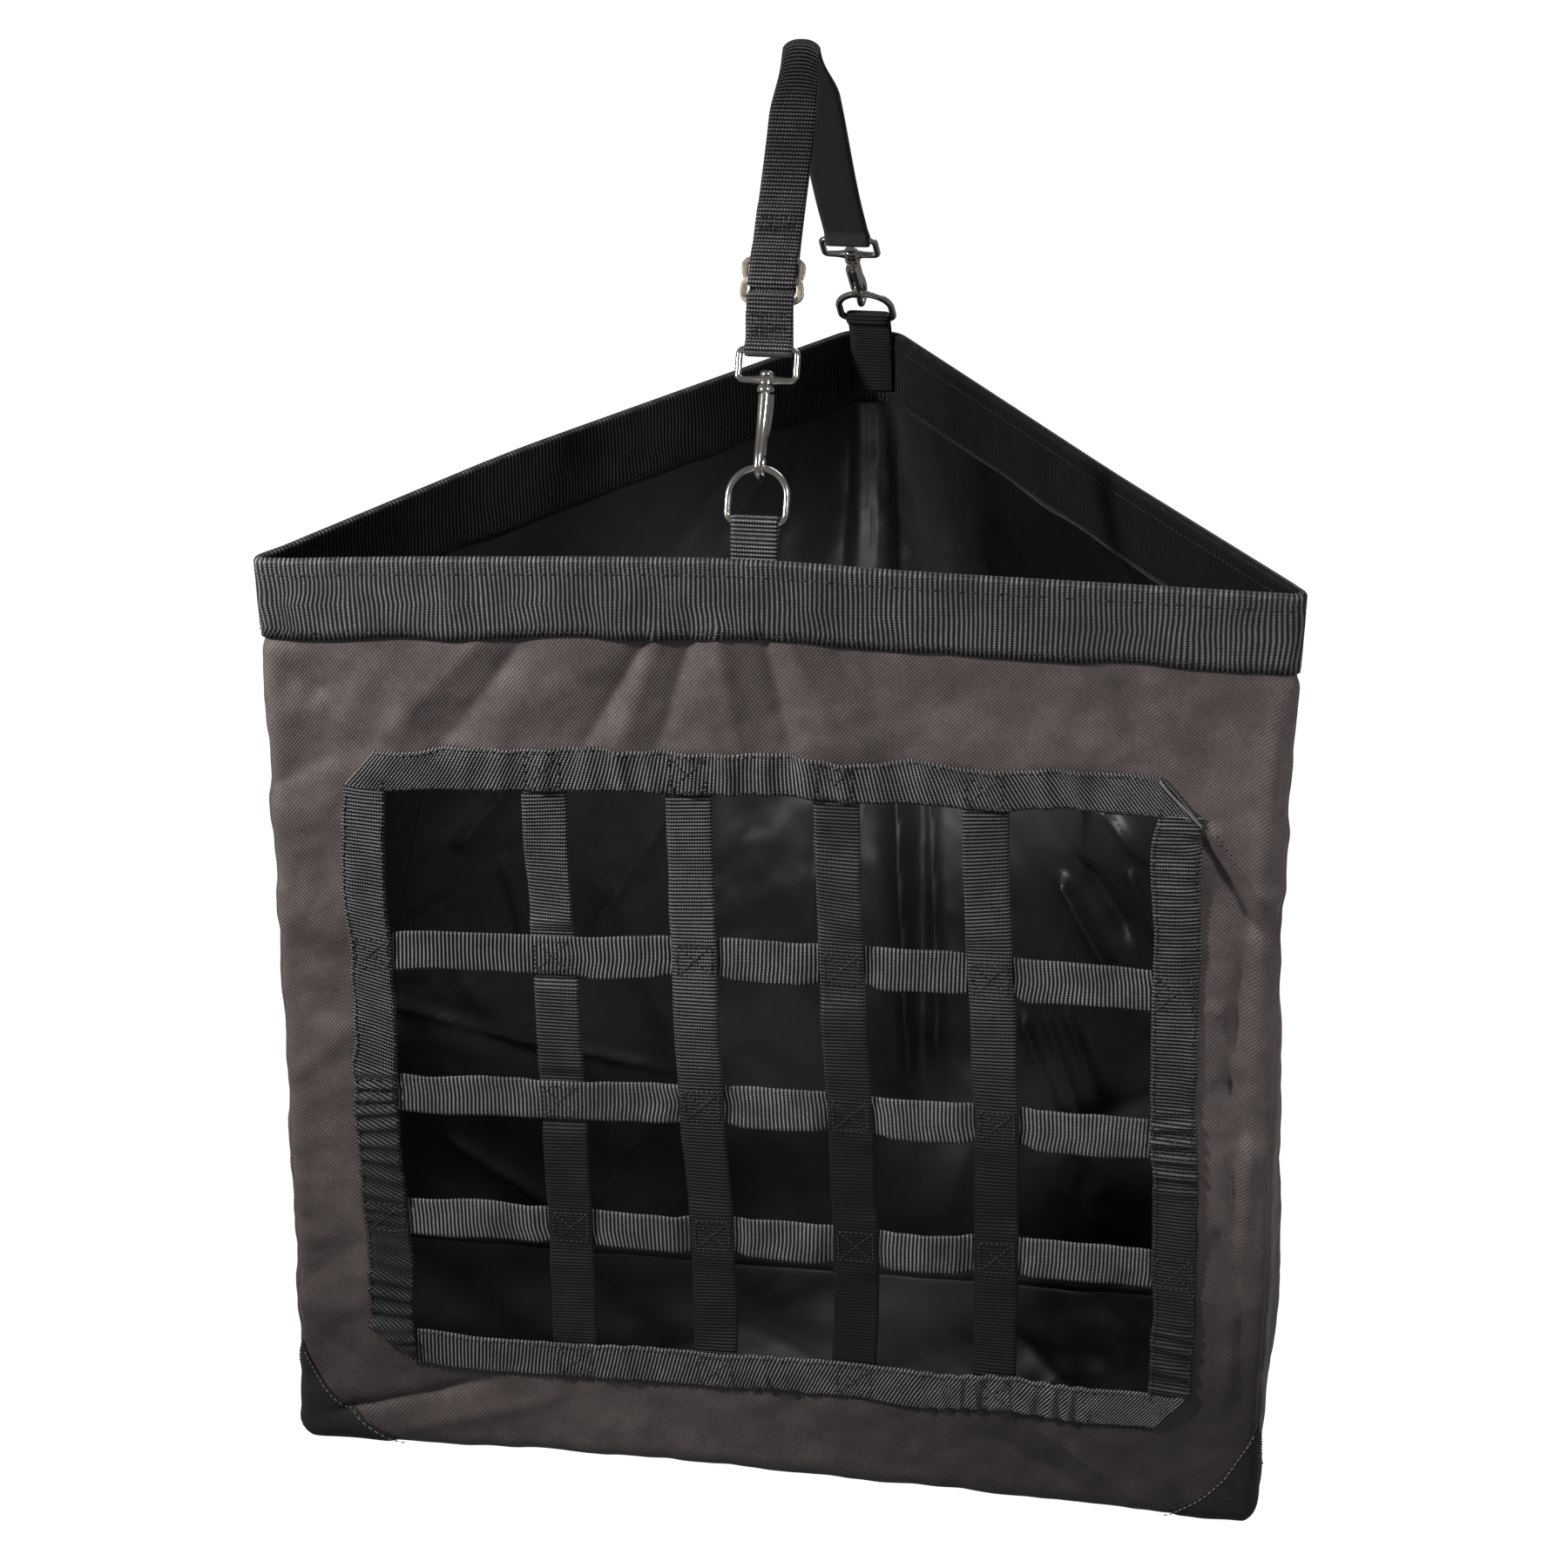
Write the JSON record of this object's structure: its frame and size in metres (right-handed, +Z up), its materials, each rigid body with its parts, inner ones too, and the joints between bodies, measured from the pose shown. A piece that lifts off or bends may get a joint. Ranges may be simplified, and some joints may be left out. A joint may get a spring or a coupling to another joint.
{
  "type": "hay net",
  "caption": "Top-load fabric hay bag with a sewn webbing feeding grid in its front, hung by a webbing strap with swivel bolt snaps hooked to D-rings.",
  "frame": {"origin": "the point on the underside of the strap's top bend where the hook that holds the bag bears", "axes": "+Z up, -Y out of the front of the bag, +X to the right seen from the front"},
  "size_m": [0.5736, 0.3863, 0.8539],
  "materials": {
    "oxford_fabric": "heavy twill-woven polyester, matte outside with a soft sheen, glossy black waterproof coating inside",
    "black_webbing": "ribbed black polypropylene webbing with a slight grey highlight on each rib",
    "strap_webbing": "ribbed black webbing on its face, smooth black on its reverse",
    "nickel_plate": "bright nickel-plated cast and bent metal",
    "stamped_steel": "dull nickel-plated stamping with a warm cast"
  },
  "bodies": {
    "root": {"adjuster_slide": "stamped_steel", "back_panel": "oxford_fabric", "back_ring_tab": "black_webbing", "bottom_panel": "oxford_fabric", "frame_bottom": "black_webbing", "frame_left": "black_webbing", "frame_right": "black_webbing", "frame_top": "black_webbing", "front_panel": "oxford_fabric", "front_ring_tab": "black_webbing", "grid_horizontal_1": "black_webbing", "grid_horizontal_2": "black_webbing", "grid_horizontal_3": "black_webbing", "grid_vertical_1": "black_webbing", "grid_vertical_2": "black_webbing", "grid_vertical_3": "black_webbing", "grid_vertical_4": "black_webbing", "gusset_left": "oxford_fabric", "gusset_right": "oxford_fabric", "hanging_strap": "strap_webbing", "mouth_binding": "black_webbing", "patch_front_left": "black_webbing", "patch_front_right": "black_webbing"},
    "front_ring": {"front_ring": "nickel_plate"},
    "front_snap_eye": {"front_snap_eye": "nickel_plate"},
    "front_snap_hook": {"front_snap_hook": "nickel_plate"},
    "front_snap_bolt": {"front_snap_bolt": "nickel_plate"},
    "back_ring": {"back_ring": "nickel_plate"},
    "back_snap_eye": {"back_snap_eye": "nickel_plate"},
    "back_snap_hook": {"back_snap_hook": "nickel_plate"},
    "back_snap_bolt": {"back_snap_bolt": "nickel_plate"}
  },
  "joints": [
    {"name": "front_snap_tilt", "type": "hinge", "parent": "root", "child": "front_snap_eye", "pos_m": [0, -0.07376, -0.15069], "axis": [1, 0, 0], "range_deg": [-5.4, 5.4]},
    {"name": "front_ring_tilt", "type": "hinge", "parent": "root", "child": "front_ring", "pos_m": [0, -0.11125, -0.23525], "axis": [1, 0, 0], "range_deg": [-12, 12]},
    {"name": "front_snap_swivel", "type": "hinge", "parent": "front_snap_eye", "child": "front_snap_hook", "pos_m": [0, -0.08044, -0.16578], "axis": [0, 0.4053, 0.9142], "range_deg": [-35, 35]},
    {"name": "front_snap_bolt_slide", "type": "slide", "parent": "front_snap_hook", "child": "front_snap_bolt", "axis": [0, 0.4053, 0.9142], "range_m": [0, 0.007], "stiffness_N_per_m": 120, "springref_m": -0.003},
    {"name": "back_snap_tilt", "type": "hinge", "parent": "root", "child": "back_snap_eye", "pos_m": [0, 0.16404, -0.13959], "axis": [1, 0, 0], "range_deg": [-5.4, 5.4]},
    {"name": "back_ring_tilt", "type": "hinge", "parent": "root", "child": "back_ring", "pos_m": [0, 0.23359, -0.20058], "axis": [1, 0, 0], "range_deg": [-12, 12]},
    {"name": "back_snap_swivel", "type": "hinge", "parent": "back_snap_eye", "child": "back_snap_hook", "pos_m": [0, 0.17645, -0.15047], "axis": [0, -0.7518, 0.6594], "range_deg": [-35, 35]},
    {"name": "back_snap_bolt_slide", "type": "slide", "parent": "back_snap_hook", "child": "back_snap_bolt", "axis": [0, -0.7518, 0.6594], "range_m": [0, 0.007], "stiffness_N_per_m": 120, "springref_m": -0.003}
  ],
  "couplings": [
    {"joint": "front_ring_tilt", "follows": "front_snap_tilt", "ratio": -2.1897},
    {"joint": "back_ring_tilt", "follows": "back_snap_tilt", "ratio": -2.1897}
  ]
}
